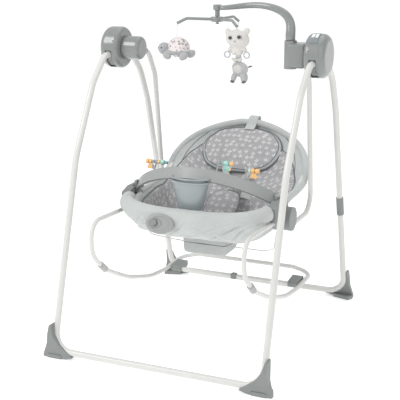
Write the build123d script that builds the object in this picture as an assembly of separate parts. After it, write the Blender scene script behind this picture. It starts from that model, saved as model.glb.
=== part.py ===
"""Electric baby swing with a lift-off rocker seat, toy bar and hanging mobile.

Millimetres, +Z up, X to the right seen from the front, the baby looks towards -Y.
The origin is on the floor under the middle of the stand. Pieces are drawn with
Y = 0 on the swing axis, and save() moves them by SHIFT_Y to that origin.
"""
from build123d import *
import math
import os

# ---- driving dimensions -------------------------------------------------------------
HUB_Z = 900.0            # height of the swing axis
HUB_X = 340.0            # middle of each hub from the centre plane
HUB_R = 66.0
HUB_W = 64.0
HUB_WALL = 2.5
SEAM_X = 350.0           # where the inner shell meets the outer cover
LEG_X = 338.0            # plane of the stand's legs
LEG_R = 10.0             # stand tube, 20 mm outside
LEG_WALL = 1.5
BASE_Z = 20.0            # axis height of the floor bars
SHAFT_R = 6.0
BUSH_R = 8.0
RUN_GAP = 0.05           # radial clearance of the running fits
ARM_X = 270.0            # plane of the swing arms
ARM_R = 8.0
ROCK_X = 246.0           # plane of the rocker runners
ROCK_R = 7.0
BRACKET_IN = 234.0
BRACKET_OUT = 284.0      # outer face of the recline disc
PLATE_OUT = 260.0        # outer face of the bracket's plate
PIVOT_Y, PIVOT_Z = -38.0, 400.0      # recline axis
STOP_Y, STOP_Z = 262.0, 110.0        # axis of the rocking stop
BACK_TILT = 44.0                     # backrest above the horizontal, degrees
BACK_ORIGIN = (0.0, 245.0, 522.0)    # point on the backrest's upper face
ROTOR = (12.0, 0.0, 990.0)           # middle of the mobile's rotor
ROTOR_ARM = 125.0
ROTOR_TURN = 200.0                   # heading of the rotor's first arm, degrees
FRONT_BAR_Y = -447.0                 # floor bars, measured from the swing axis
REAR_BAR_Y = 408.0
SHIFT_Y = -(FRONT_BAR_Y + REAR_BAR_Y) / 2   # from the swing axis to the stand's middle

os.makedirs("parts", exist_ok=True)


# ---- helpers --------------------------------------------------------------------------
def save(shape, name):
    """Write one named piece, whatever mix of solids it is made of."""
    solids = list(shape.solids()) if hasattr(shape, "solids") else [s for p in shape for s in p.solids()]
    moved = [Pos(0, SHIFT_Y, 0) * solid for solid in solids]
    piece = moved[0] if len(moved) == 1 else Compound(children=moved)
    piece.label = name
    export_step(piece, f"parts/{name}.step")


def disc(path, radius):
    """Round section at the start of a path, square to it."""
    return Plane(path @ 0, z_dir=path % 0) * Circle(radius)


def rod(points, radii, radius):
    """Solid round bar along straight runs joined by tangent arcs."""
    path = FilletPolyline(*points, radius=radii) if len(points) > 2 else Line(*points)
    return sweep(disc(path, radius), path=path)


def tube(points, radii, radius, wall):
    """Round tube along straight runs joined by tangent arcs."""
    return rod(points, radii, radius) - rod(points, radii, radius - wall)


def x_cylinder(radius, x0, x1, y, z):
    """Cylinder along X between two stations."""
    return Pos((x0 + x1) / 2, y, z) * Rot(0, 90, 0) * Cylinder(radius, x1 - x0)


def side_plate(points, radii, x0, x1):
    """Plate in a plane of constant X, from an outline given as (y, z)."""
    outline = FilletPolyline(*[(y, z) for y, z in points], radius=radii, close=True)
    face = make_face(Plane.YZ * outline)
    return Pos(x0, 0, 0) * extrude(face, x1 - x0, dir=(1, 0, 0))


def both(make):
    """The same piece on the left and on the right, mirrored in the centre plane."""
    right = make()
    return right.mirror(Plane.YZ), right


# ---- stand: hubs ------------------------------------------------------------------------
FRONT_LEG = [(-26, 884), (-88, 880), (-165, 806), (-284, 589), (FRONT_BAR_Y, BASE_Z)]
REAR_LEG = [(34, 884), (88, 880), (160, 812), (212, 705), (REAR_BAR_Y, BASE_Z)]
FRONT_SPLIT_Z = 447.0
REAR_SPLIT_Z = 320.0


def along_leg(leg, z):
    """Y of the straight lower stretch of a leg at a height."""
    (y0, z0), (y1, z1) = leg[-2], leg[-1]
    return y0 + (y1 - y0) * (z0 - z) / (z0 - z1)


def hub_body(shrink=0.0):
    """Domed drum of a hub: small edge radius inside, large one outside."""
    half = HUB_W / 2 - shrink
    radius = HUB_R - shrink
    drum = Pos(HUB_X, 0, HUB_Z) * Rot(0, 90, 0) * Cylinder(radius, 2 * half)
    inner = drum.edges().filter_by(GeomType.CIRCLE).sort_by(Axis.X)[0]
    drum = fillet(inner, 13 - shrink)
    outer = drum.edges().filter_by(GeomType.CIRCLE).sort_by(Axis.X)[-1]
    return fillet(outer, 21 - shrink)


def leg_slot():
    """Sector cut in the shell that the front leg swings through."""
    slot = None
    for angle in range(0, 45, 8):
        hole = Pos(LEG_X, -60, 882) * Box(2 * LEG_R + 2, 60, 2 * LEG_R + 6)
        turned = hole.rotate(Axis((0, 0, HUB_Z), (1, 0, 0)), angle)
        slot = turned if slot is None else slot + turned
    return slot


def hub_screw_set():
    """Two screws on the front of each inner shell."""
    return [Pos(x, y, z) * Rot(90, 0, 0) * Cylinder(2.4, 6) for x, y, z in ((324, -60.5, 925), (317, -60, 897))]


def hub_shells():
    """Inner shell with its leg openings, and the outer cover."""
    hollow = hub_body() - hub_body(HUB_WALL)
    inner = hollow & Pos(SEAM_X - 100, 0, HUB_Z) * Box(200, 200, 200)
    cover = hollow & Pos(SEAM_X + 100, 0, HUB_Z) * Box(200, 200, 200)
    inner -= leg_slot()
    inner -= rod([(LEG_X, y, z) for y, z in REAR_LEG[:3]], [40], LEG_R)
    inner -= x_cylinder(BUSH_R, 300, 330, 0, HUB_Z)
    for screw in hub_screw_set():
        inner -= screw
    boss = x_cylinder(11, SEAM_X + 6, HUB_X + HUB_W / 2 - HUB_WALL, 0, HUB_Z)
    cover += boss - x_cylinder(SHAFT_R + RUN_GAP, 300, 366, 0, HUB_Z)
    return inner, cover


def shaft_bush():
    """Plastic sleeve that carries the swing shaft."""
    sleeve = x_cylinder(BUSH_R, 310, 351, 0, HUB_Z) + x_cylinder(12, 310.5, 314, 0, HUB_Z)
    return sleeve - x_cylinder(SHAFT_R + RUN_GAP, 300, 370, 0, HUB_Z)


def fold_knuckle():
    """Ring on the bush with the socket that holds the front leg."""
    ring = x_cylinder(23, 326.5, 349.5, 0, HUB_Z)
    ring += Pos(LEG_X, -36, 884) * Box(23, 36, 26)
    ring -= x_cylinder(BUSH_R + RUN_GAP, 300, 370, 0, HUB_Z)
    return ring - rod([(LEG_X, y, z) for y, z in FRONT_LEG[:3]], [40], LEG_R)


def control_panel():
    """Curved keyplate on the upper front of the right hub."""
    ring = x_cylinder(HUB_R + 1.6, 322, 348, 0, HUB_Z) - x_cylinder(HUB_R, 300, 380, 0, HUB_Z)
    wedge = side_plate([(0, HUB_Z), (-110, HUB_Z + 92), (-9, HUB_Z + 120)], [0, 0, 0], 300, 380)
    return ring & wedge


def panel_key(x0, x1):
    """Key that stands in the keyplate and travels towards the hub axis."""
    ring = x_cylinder(HUB_R + 2.8, x0, x1, 0, HUB_Z) - x_cylinder(HUB_R + 1.1, 300, 380, 0, HUB_Z)
    wedge = side_plate([(0, HUB_Z), (-62, HUB_Z + 100), (-28, HUB_Z + 110)], [0, 0, 0], 300, 380)
    return ring & wedge


def key_well(x0, x1):
    """Space in the keyplate around a key."""
    ring = x_cylinder(HUB_R + 5, x0 - 0.5, x1 + 0.5, 0, HUB_Z) - x_cylinder(HUB_R, 300, 380, 0, HUB_Z)
    wedge = side_plate([(0, HUB_Z), (-64, HUB_Z + 99), (-26, HUB_Z + 111)], [0, 0, 0], 300, 380)
    return ring & wedge


KEYS = {"speed_button": (325.0, 333.5), "music_button": (336.5, 345.0)}


def make_hubs():
    inner, cover = hub_shells()
    save(inner.mirror(Plane.YZ), "hub_shell_left")
    save(inner, "hub_shell_right")
    save(cover.mirror(Plane.YZ), "hub_cover_left")
    save(cover, "hub_cover_right")
    bush = shaft_bush()
    save([bush.mirror(Plane.YZ), bush], "shaft_bushes")
    save([s for k in hub_screw_set() for s in (k.mirror(Plane.YZ), k)], "hub_screws")
    panel = control_panel()
    for name, (x0, x1) in KEYS.items():
        panel -= key_well(x0, x1)
        save(panel_key(x0, x1), name)
    save(panel, "control_panel")
    motor = x_cylinder(12, 318, 346, -22, HUB_Z + 36) + x_cylinder(2, 346, 352, -22, HUB_Z + 36)
    save(motor, "drive_motor")
    cells = [x_cylinder(7.2, 315, 349, y, HUB_Z + z) for y, z in ((8, 50), (24.5, 44.5), (38.5, 33))]
    save(cells, "battery_cells")
    gear = x_cylinder(20, 352, 355.5, 0, HUB_Z) - x_cylinder(SHAFT_R, 340, 370, 0, HUB_Z)
    for turn in range(0, 360, 20):
        notch = Pos(353.75, 0, HUB_Z + 20) * Box(4, 2.6, 5)
        gear -= notch.rotate(Axis((0, 0, HUB_Z), (1, 0, 0)), turn)
    save(gear, "drive_gear")


# ---- stand: frames --------------------------------------------------------------------------
def leg_points(leg):
    return [(LEG_X, y, z) for y, z in leg]


def upper_leg(leg, split_z):
    """Bent upper leg, from inside the hub down to the joint."""
    end = (along_leg(leg, split_z), split_z)
    return tube(leg_points(leg[:4] + [end]), [40, 130, 260], LEG_R, LEG_WALL)


def base_tube(leg, split_z):
    """Floor bar with both lower legs, in one bent tube."""
    top = (LEG_X, along_leg(leg, split_z), split_z)
    corner = (LEG_X, leg[-1][0], BASE_Z)
    points = [(-top[0], top[1], top[2]), (-corner[0], corner[1], corner[2]), corner, top]
    return tube(points, [60, 60], LEG_R, LEG_WALL)


def corner_foot(leg, side):
    """Moulded corner shoe: a floor pad, a wing up the leg and a wing along the bar."""
    y = leg[-1][0]
    out = -1 if y < 0 else 1
    lean = math.degrees(math.atan2(abs(leg[-1][0] - leg[-2][0]), leg[-2][1] - leg[-1][1]))
    floor = [(300, y - out * 8), (360, y - out * 26), (371, y + out * 2), (352, y + out * 16), (308, y + out * 16)]
    pad = extrude(make_face(FilletPolyline(*floor, radius=[4, 6, 8, 8, 4], close=True)), 30)
    body = [(268, 8), (300, 0.5), (371, 0.5), (369, 12), (357, 46), (352, 100), (346, 104),
            (336, 70), (316, 42), (290, 25)]
    outline = FilletPolyline(*body, radius=[2, 8, 4, 8, 30, 2, 2, 40, 40, 8], close=True)
    slab = extrude(make_face(Plane.XZ * outline), 40, dir=(0, 1, 0))
    wing = Pos(0, y - 13 if out < 0 else y - 27, 0) * slab
    lean_box = Pos(330, y + out * 2, 60) * Rot(out * lean, 0, 0) * Box(150, 30, 200)
    wing = wing & lean_box
    shoe = pad & Pos(330, y, 6) * Box(90, 70, 12)
    shoe = shoe + wing
    corner = (LEG_X, y, BASE_Z)
    top = (LEG_X, along_leg(leg, 200), 200)
    shoe -= rod([(200, y, BASE_Z), corner, top], [60], LEG_R)
    return shoe if side > 0 else shoe.mirror(Plane.YZ)


def leg_sleeve(leg, z0, z1, radius):
    """Plastic sleeve over the joint of two tubes."""
    low = (LEG_X, along_leg(leg, z0), z0)
    high = (LEG_X, along_leg(leg, z1), z1)
    return rod([low, high], [], radius) - rod([low, high], [], LEG_R)


def make_stand():
    for name, leg, split in (("rear", REAR_LEG, REAR_SPLIT_Z), ("front", FRONT_LEG, FRONT_SPLIT_Z)):
        right = upper_leg(leg, split)
        save(right.mirror(Plane.YZ), f"{name}_leg_left")
        save(right, f"{name}_leg_right")
        save(base_tube(leg, split), f"{name}_base_tube")
        save([corner_foot(leg, -1), corner_foot(leg, 1)], f"{name}_feet")
    sleeve = leg_sleeve(REAR_LEG, 332, 394, 12.5)
    save([sleeve.mirror(Plane.YZ), sleeve], "rear_sleeves")
    knuckle = fold_knuckle()
    save([knuckle.mirror(Plane.YZ), knuckle], "fold_knuckles")


# ---- swing: shafts, knobs, arms and mobile --------------------------------------------------
ARM_PATH = [(14, 893), (88, 880), (136, 800), (193, 372), (-30, 372)]
MOBILE_STATIONS = [      # x, z, heading above +X in degrees, radius
    (254, 944, 90, 15.0),
    (253, 985, 97, 14.0),
    (238, 1015, 128, 12.5),
    (205, 1035, 158, 11.0),
    (150, 1044, 176, 9.5),
    (85, 1040, 184, 8.5),
    (22, 1035, 182, 8.0),
]


def arm_tube():
    return tube([(ARM_X, y, z) for y, z in ARM_PATH], [45, 60, 60], ARM_R, 1.5)


def arm_socket():
    """Collar at the rear of a knob that the arm tube plugs into."""
    return rod([(ARM_X, 20, 892), (ARM_X, 62, 884.6)], [], 12)


def arm_hole():
    return rod([(ARM_X, y, z) for y, z in ARM_PATH[:3]], [45], ARM_R)


def make_knobs():
    """Round knob on the left, block with the mobile's socket on the right."""
    barrel = x_cylinder(37, 246, 306, 0, HUB_Z)
    edge = barrel.edges().filter_by(GeomType.CIRCLE).sort_by(Axis.X)[0]
    barrel = fillet(edge, 12) + arm_socket()
    barrel -= x_cylinder(SHAFT_R, 262, 320, 0, HUB_Z)
    barrel -= arm_hole()
    save(barrel.mirror(Plane.YZ), "swing_knob_left")
    block = Pos(276, 0, HUB_Z) * Box(60, 68, 74)
    block = fillet(block.edges(), 11)
    block += arm_socket()
    block += Pos(254, -12, 902) * Cylinder(19, 84)
    block -= x_cylinder(SHAFT_R, 262, 320, 0, HUB_Z)
    block -= arm_hole()
    save(block, "swing_knob_right")
    shaft = x_cylinder(SHAFT_R, 262, 365, 0, HUB_Z)
    save([shaft.mirror(Plane.YZ), shaft], "swing_shafts")
    arm = arm_tube()
    save(arm.mirror(Plane.YZ), "swing_arm_left")
    save(arm, "swing_arm_right")


def make_mobile():
    """Tapered arm, its cap and pivot, and the three-armed rotor."""
    rings = []
    for x, z, heading, radius in MOBILE_STATIONS:
        turn = math.radians(heading)
        y = -12 * (z < 1000) - 6 * (1000 <= z < 1040 and x > 200)
        rings.append(Plane((x, y, z), z_dir=(math.cos(turn), 0, math.sin(turn))) * Circle(radius))
    arm = loft(rings)
    save(arm, "mobile_arm")
    x, y, z = ROTOR
    cap = fillet((Pos(x, y, 1035) * Cylinder(13.5, 17)).edges(), 4) - arm
    neck = Pos(x, y, 1018) * Cylinder(7.5, 20) - arm
    pin = Pos(x, y, 1008) * Cylinder(3, 40)
    head = Pos(x, y, 986.5) * Cylinder(5.5, 3)
    save(cap + neck + (pin - arm) + head, "mobile_cap")
    rotor = Pos(x, y, 999) * Cylinder(22, 15)
    rotor = fillet(rotor.edges(), 5)
    for k in range(3):
        turn = math.radians(ROTOR_TURN + 120 * k)
        cx, cy = math.cos(turn), math.sin(turn)
        points = [(x + 16 * cx, y + 16 * cy, 999), (x + 95 * cx, y + 95 * cy, 1001),
                  (x + ROTOR_ARM * cx, y + ROTOR_ARM * cy, 986)]
        rotor += rod(points, [22], 4.5)
    rotor -= Pos(x, y, 1000) * Cylinder(3.05, 40)
    rotor -= Pos(x, y, 988) * Cylinder(6, 9)
    save(rotor, "mobile_rotor")


def rotor_tip(k):
    turn = math.radians(ROTOR_TURN + 120 * k)
    return ROTOR[0] + ROTOR_ARM * math.cos(turn), ROTOR[1] + ROTOR_ARM * math.sin(turn)


def egg_solid(x, y, z, radius, height):
    """Ball stretched along Z, round in plan."""
    return Pos(x, y, z) * scale(Sphere(1), by=(radius, radius, height / 2))


def string(k, top, bottom):
    x, y = rotor_tip(k)
    return Pos(x, y, (top + bottom) / 2) * Cylinder(0.8, top - bottom)


def make_toys():
    """Soft toys on strings under the rotor's arm tips."""
    x, y = rotor_tip(0)
    save(string(0, 981.4, 942), "turtle_string")
    turtle = egg_solid(x, y, 914, 42, 56)
    save(turtle, "turtle_toy")
    x, y = rotor_tip(2)
    save(string(2, 981.4, 908), "giraffe_string")
    giraffe = egg_solid(x, y, 884, 22, 48) + egg_solid(x + 4, y, 838, 31, 70)
    save(giraffe, "giraffe_toy")
    x, y = rotor_tip(1)
    cat = egg_solid(x + 4, y - 2, 940, 32, 76)
    loop = Pos(x, y, 978) * Cylinder(1.5, 7)
    save(cat + loop, "cat_toy")


# ---- seat: brackets and rocker frame ----------------------------------------------------------
RIM_PATH = [(247, -84, 438), (223, -176, 434), (112, -232, 424),
            (-112, -232, 424), (-223, -176, 434), (-247, -84, 438)]
ROLL_START = (231.6, -143, 435.4)      # where the padded roll begins, on the front tube
RIM_RADII = [60, 85, 85, 60]
ROCKER_PATH = [(-62, 400), (-363, 414), (-363, 309), (-275, 236), (-130, 167), (30, 119), (150, 107), (238, 110)]
ROCKER_RADII = [50, 88, 300, 480, 480, 450]


WIRE_PATH = [(240, -60, 368), (216, -20, 288), (150, 72, 248), (-150, 72, 248), (-216, -20, 288), (-240, -60, 368)]


def bracket():
    """Side bracket: recline disc behind, sockets for the rim, rocker and arm tubes."""
    disc_part = x_cylinder(37, BRACKET_IN, BRACKET_OUT, PIVOT_Y, PIVOT_Z)
    plate = side_plate([(-138, 418), (-138, 456), (-96, 468), (-40, 468), (-6, 420), (-30, 364), (-80, 372)],
                       [8, 8, 6, 14, 6, 6, 10], BRACKET_IN, PLATE_OUT)
    body = disc_part + plate
    body -= rod(RIM_PATH[:3], [60], 7.0)
    body -= rod([(ROCK_X, y, z) for y, z in ROCKER_PATH[:3]], [50], ROCK_R)
    body -= x_cylinder(6 + RUN_GAP, 200, 250, PIVOT_Y, PIVOT_Z)
    body -= rod([(ARM_X, 60, 372), (ARM_X, -34, 372)], [], ARM_R + 0.06)
    body -= Pos(239.5, -70, 466) * Box(13.4, 50, 52)
    body -= Pos(PLATE_OUT, -84, 448) * Box(6, 34, 9)
    body -= rod(WIRE_PATH[:3], [40], 2)
    return body


def make_seat_frame():
    left, right = both(bracket)
    save(left, "bracket_left")
    save(right, "bracket_right")
    side = tube([(ROCK_X, y, z) for y, z in ROCKER_PATH], ROCKER_RADII, ROCK_R, 1.3)
    side -= x_cylinder(3.05, 200, ROCK_X, STOP_Y - 30, STOP_Z - 0.5)
    save(side.mirror(Plane.YZ), "rocker_side_left")
    save(side, "rocker_side_right")
    corner_z = 110 + 60 * 3 / 88
    rear = [(ROCK_X, 238, 110), (ROCK_X, 298, corner_z), (180, 300, 127), (-180, 300, 127),
            (-ROCK_X, 298, corner_z), (-ROCK_X, 238, 110)]
    save(tube(rear, [40, 60, 60, 40], ROCK_R, 1.3), "rocker_rear_bar")
    pad = rod([(ROCK_X, -311, 266), (ROCK_X, -283, 242.5)], [], ROCK_R + 3.5)
    pad -= rod([(ROCK_X, y, z) for y, z in ROCKER_PATH[1:6]], ROCKER_RADII[1:4], ROCK_R)
    save([pad.mirror(Plane.YZ), pad], "rocker_pads")
    save(tube(RIM_PATH, RIM_RADII, 7, 1.2), "seat_front_tube")
    save(rod(WIRE_PATH, [40, 50, 50, 40], 2), "under_wire")


# ---- seat: soft goods -------------------------------------------------------------------------
def make_seat_soft():
    """Hammock with its rim roll, side walls, pouch, vibration unit and harness."""
    floor = [(-214, 372), (-150, 318), (-40, 290), (60, 296), (104, 330), (84, 352), (46, 324),
             (-30, 318), (-130, 348), (-186, 396)]
    pan = side_plate(floor, [10, 20, 60, 30, 6, 6, 20, 40, 20, 10], -196, 196)
    wall = side_plate([(-190, 372), (-130, 330), (-40, 296), (56, 300), (98, 330), (110, 432), (-60, 440), (-168, 414)],
                      [10, 20, 60, 30, 10, 10, 40, 10], 188, 206)
    start_x, start_y, start_z = ROLL_START
    roll_path = [ROLL_START] + RIM_PATH[1:5] + [(-start_x, start_y, start_z)]
    roll = rod(roll_path, [36, 85, 85, 36], 20)
    apron = side_plate([(-246, 418), (-222, 418), (-192, 372), (-206, 362)], [3, 3, 3, 3], -170, 170)
    sling = pan + wall + wall.mirror(Plane.YZ) + roll + apron
    save(sling - rod(RIM_PATH, RIM_RADII, 7), "seat_sling")
    pouch = fillet((Pos(0, -28, 272) * Box(160, 120, 34)).edges().filter_by(Axis.Z), 14)
    save(pouch - pan, "under_pocket")
    shell = extrude(make_face(Plane.XZ * Ellipse(45, 31)), 10, both=True)
    shell = fillet(shell.edges(), 6)
    shell = Pos(-64, -263, 404) * Rot(-22, 0, 6) * shell
    key = x_key()
    well = Pos(-78, -272, 409) * Rot(68, 0, 0) * Cylinder(9.4, 30)
    save(shell - sling - well, "vibration_unit")
    save(key, "vibration_button")
    crotch = side_plate([(-4, 330), (88, 388), (112, 402), (112, 405), (86, 391), (-6, 333)],
                        [1, 1, 0.5, 1, 1, 0.5], 14, 34)
    lap = Pos(24, 110, 408) * Rot(30, 0, 0)
    buckle = lap * Box(34, 30, 12)
    waist = lap * (Pos(-68, 0, 0) * Box(100, 20, 2) + Pos(64, 0, 0) * Box(92, 20, 2))
    save([buckle, waist, crotch - buckle], "harness")


def x_key():
    """Oval start key of the vibration unit."""
    return Pos(-78, -277, 411) * Rot(68, 0, 0) * Cylinder(8.8, 7)


# ---- backrest ----------------------------------------------------------------------------------
def back_point(x, s, lift=0.0):
    """Point of the backrest from its own width, length and height above its face."""
    turn = math.radians(BACK_TILT)
    _, y0, z0 = BACK_ORIGIN
    return (x, y0 + s * math.cos(turn) - lift * math.sin(turn), z0 + s * math.sin(turn) + lift * math.cos(turn))


def back_plane(lift=0.0):
    turn = math.radians(BACK_TILT)
    return Plane(back_point(0, 0, lift), x_dir=(1, 0, 0), z_dir=(0, -math.sin(turn), math.cos(turn)))


def egg_face(points, radii):
    """Closed egg outline, symmetrical about the middle, from its right half."""
    left = [(-x, s) for x, s in reversed(points)]
    return make_face(FilletPolyline(*(points + left), radius=radii + radii[::-1], close=True))


def make_backrest():
    pivot = (222, PIVOT_Y, PIVOT_Z)
    path = [pivot, (236, 130, 440), back_point(238, -46), back_point(211, 36), back_point(132, 102), back_point(40, 140)]
    path += [(-x, y, z) for x, y, z in reversed(path)]
    bends = [60, 70, 90, 90, 60]
    frame = tube(path, bends + bends[::-1], 6, 1.2)
    eye = x_cylinder(14, 215.5, 228.5, PIVOT_Y, PIVOT_Z) + x_cylinder(6, 228.5, 249, PIVOT_Y, PIVOT_Z)
    hollow = rod(path, bends + bends[::-1], 6)
    save(frame + eye + eye.mirror(Plane.YZ), "back_frame")
    outline = egg_face([(150, -150), (222, -88), (222, -30), (166, 82), (48, 138)], [50, 70, 90, 60, 60])
    panel = extrude(back_plane(-34) * outline, 32)
    save(panel - hollow, "back_sling")
    pillow_face = egg_face([(62, -74), (120, -38), (142, 22), (96, 96), (36, 106)], [34, 50, 60, 50, 30])
    save(extrude(back_plane(0) * pillow_face, 30), "head_pillow")


# ---- toy bar --------------------------------------------------------------------------------------
BAR_END = (-68.0, 463.0)
BAR_RISE = (-102.0, 83.0)
BAR_HALF = 238.0
BAR_WIDTH = 38.0
BAR_THICK = 9.0
POSTS = {"toy_spinner_a": -152.0, "toy_spinner_b": -152.0, "toy_spinner_c": 73.0, "toy_spinner_d": 153.0}


def bar_rise_length():
    return math.hypot(*BAR_RISE)


def bar_height(x, offset=0.0):
    """Height of the circular arch in its own tilted plane."""
    rise = bar_rise_length()
    radius = (BAR_HALF ** 2 + rise ** 2) / (2 * rise)
    return rise - radius + math.sqrt((radius + offset) ** 2 - x ** 2)


def bar_point(x, across=0.0, offset=0.0):
    """Point on the bar: x, distance across the band, distance above its middle line."""
    rise = bar_rise_length()
    uy, uz = BAR_RISE[0] / rise, BAR_RISE[1] / rise
    height = bar_height(x, offset)
    return (x, BAR_END[0] + uy * height + uz * across, BAR_END[1] + uz * height - uy * across)


def spin_axis(x):
    """Y and Z of a toy's axle behind and above the bar's upper edge."""
    _, y, z = bar_point(abs(x), BAR_WIDTH / 2)
    return y + 22, z + 24


def make_toy_bar():
    rise = bar_rise_length()
    uy, uz = BAR_RISE[0] / rise, BAR_RISE[1] / rise
    arch = Plane((0, BAR_END[0] + uz * BAR_WIDTH / 2, BAR_END[1] - uy * BAR_WIDTH / 2),
                 x_dir=(1, 0, 0), z_dir=(0, -uz, uy))
    half = BAR_THICK / 2
    end = BAR_HALF - 1
    crown = rise + half
    outer = ThreePointArc((-end - half, 0), (0, crown), (end + half, 0))
    inner = ThreePointArc((end - half, 0), (0, crown - BAR_THICK), (-end + half, 0))
    sides = Line((end + half, 0), (end - half, 0)) + Line((-end + half, 0), (-end - half, 0))
    band = extrude(arch * make_face(outer + inner + sides), BAR_WIDTH)
    tongue = side_plate([(-79, 442), (-57, 442), (-57, 482), (-79, 482)], [2, 2, 4, 4], 236, 244)
    pieces = [band, tongue - band, tongue.mirror(Plane.YZ) - band]
    for x in sorted(set(POSTS.values())):
        y, z = spin_axis(x)
        _, fy, fz = bar_point(abs(x), BAR_WIDTH / 2 - 6)
        post = rod([(x, fy, fz), (x, y, z)], [], 3.0) + x_cylinder(5, x - 4, x + 4, y, z)
        pieces.append(post - x_cylinder(1.55, x - 8, x + 8, y, z) - band)
    save(pieces, "toy_bar")
    rim = Plane((0, -178, 524)) * Ellipse(60, 31)
    foot = Plane((0, -182, 440)) * Ellipse(41, 22)
    cup = loft([foot, rim]) + Pos(0, -178, 521) * extrude(Ellipse(62, 33), 5)
    hollow = loft([Plane((0, -182, 434)) * Ellipse(37, 18), Plane((0, -178, 520)) * Ellipse(56.5, 27.5)])
    neck = Pos(0, -176, 532) * Box(70, 8, 14)
    cup = cup - hollow + neck
    save(cup - band, "bar_cup")


def bead(radius, width, x, y, z):
    ring = fillet(x_cylinder(radius, x - width / 2, x + width / 2, y, z).edges(), width * 0.28)
    return ring - x_cylinder(1.5, x - width, x + width, y, z)


def figure(x, y, z, wing, drop):
    """Flat flower-like figure hanging from its bead."""
    lobes = [(-wing, -drop), (-wing * 0.35, -drop * 0.62), (wing * 0.35, -drop * 0.62), (wing, -drop)]
    plate = None
    for dx, dz in lobes:
        lobe = Pos(x + dx * 0.5, y, z + dz) * Rot(90, 0, 0) * Cylinder(wing * 0.55, 5)
        plate = lobe if plate is None else plate + lobe
    return plate


def spinner(post_x, way, pieces, charm):
    """Axle through a post, with its beads and a figure, all turning together."""
    y, z = spin_axis(post_x)
    tip = post_x + way * pieces[-1][0]
    low, high = sorted((post_x + way * 0.4, tip))
    solids = [x_cylinder(1.5, low, high, y, z)]
    for offset, radius, width in pieces:
        solids.append(bead(radius, width, post_x + way * offset, y, z))
    if charm:
        offset, wing, drop = charm
        body = figure(post_x + way * offset, y, z, wing, drop)
        solids.append(body - x_cylinder(6.8, post_x - 60, post_x + 60, y, z))
    return solids


def make_spinners():
    save(spinner(-152, -1, [(9, 5.5, 9), (20, 6.5, 9), (31, 7.5, 11)], (20, 11, 18)), "toy_spinner_a")
    save(spinner(-152, 1, [(9, 6, 9), (22, 8, 14), (35, 4.5, 9)], None), "toy_spinner_b")
    save(spinner(73, 1, [(9, 4, 9), (23, 7.5, 16), (41, 6.5, 12)], (26, 12, 18)), "toy_spinner_c")
    save(spinner(153, 1, [(9, 6, 8), (20, 7, 12), (34, 7.5, 12)], (22, 11, 18)), "toy_spinner_d")


# ---- rocking stop -----------------------------------------------------------------------------------
def make_stop():
    """Cross tube between two flaps that swing down to block the rocker."""
    y, z = STOP_Y - 30, STOP_Z - 0.5
    bar_y, bar_z = 192, 103
    save(tube([(-236, bar_y, bar_z), (236, bar_y, bar_z)], [], 6, 1.2), "stop_bar")
    flap = side_plate([(y + 13, z + 12), (y + 13, z - 12), (bar_y - 12, bar_z - 11), (bar_y - 12, bar_z + 12)],
                      [10, 10, 9, 9], 200, 236)
    flap += x_cylinder(3.0, 236, 244, y, z)
    flap -= x_cylinder(6, 200, 260, bar_y, bar_z)
    clip = fillet((Pos(0, bar_y, bar_z) * Box(20, 20, 20)).edges(), 4) - x_cylinder(6, -30, 30, bar_y, bar_z)
    save([flap.mirror(Plane.YZ), flap, clip], "stop_flaps")


make_hubs()
make_stand()
make_knobs()
make_mobile()
make_toys()
make_seat_frame()
make_seat_soft()
make_backrest()
make_toy_bar()
make_spinners()
make_stop()
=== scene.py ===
import math

import bmesh
import bpy
from mathutils import Matrix, Vector, noise


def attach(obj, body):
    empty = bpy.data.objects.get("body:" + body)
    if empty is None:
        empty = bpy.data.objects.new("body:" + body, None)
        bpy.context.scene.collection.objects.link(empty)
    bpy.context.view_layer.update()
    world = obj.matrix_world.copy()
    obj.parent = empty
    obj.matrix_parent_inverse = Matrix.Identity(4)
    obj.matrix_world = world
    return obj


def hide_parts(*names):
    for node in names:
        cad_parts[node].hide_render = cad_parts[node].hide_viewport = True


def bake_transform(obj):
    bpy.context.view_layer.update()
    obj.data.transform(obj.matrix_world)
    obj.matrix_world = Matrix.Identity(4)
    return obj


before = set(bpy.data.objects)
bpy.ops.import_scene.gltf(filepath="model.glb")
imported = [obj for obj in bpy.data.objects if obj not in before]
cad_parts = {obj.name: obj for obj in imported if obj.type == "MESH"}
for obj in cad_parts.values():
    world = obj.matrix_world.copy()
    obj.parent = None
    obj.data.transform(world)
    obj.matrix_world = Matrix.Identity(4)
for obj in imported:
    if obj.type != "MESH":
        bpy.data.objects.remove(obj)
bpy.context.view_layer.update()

# ---- studio --------------------------------------------------------------------------
# A pale floor, a white surround and three large soft lights. The camera stands
# in front and to the right of the swing, a little above its top.
CAMERA_SPOT = (1.1686, -2.7880, 1.2195)
CAMERA_AZIMUTH = math.radians(23.40)
CAMERA_ELEVATION = math.radians(14.69)

camera = bpy.data.objects.new("camera", bpy.data.cameras.new("camera"))
camera.data.lens = 87.52
camera.data.sensor_width = 36.0
camera.location = CAMERA_SPOT
camera.rotation_euler = (math.pi / 2 - CAMERA_ELEVATION, 0, CAMERA_AZIMUTH)
bpy.context.collection.objects.link(camera)
bpy.context.scene.camera = camera
bpy.context.scene.view_settings.view_transform = "Standard"

world = bpy.data.worlds.new("surround")
world.use_nodes = True
world.node_tree.nodes["Background"].inputs["Color"].default_value = (1, 1, 1, 1)
sky = world.node_tree
seen = sky.nodes.new("ShaderNodeLightPath")
bright = sky.nodes.new("ShaderNodeMapRange")
bright.inputs["To Min"].default_value = 0.72      # the light that the surround gives
bright.inputs["To Max"].default_value = 1.05      # how bright it looks itself
sky.links.new(seen.outputs["Is Camera Ray"], bright.inputs["Value"])
sky.links.new(bright.outputs["Result"], sky.nodes["Background"].inputs["Strength"])
bpy.context.scene.world = world

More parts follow.
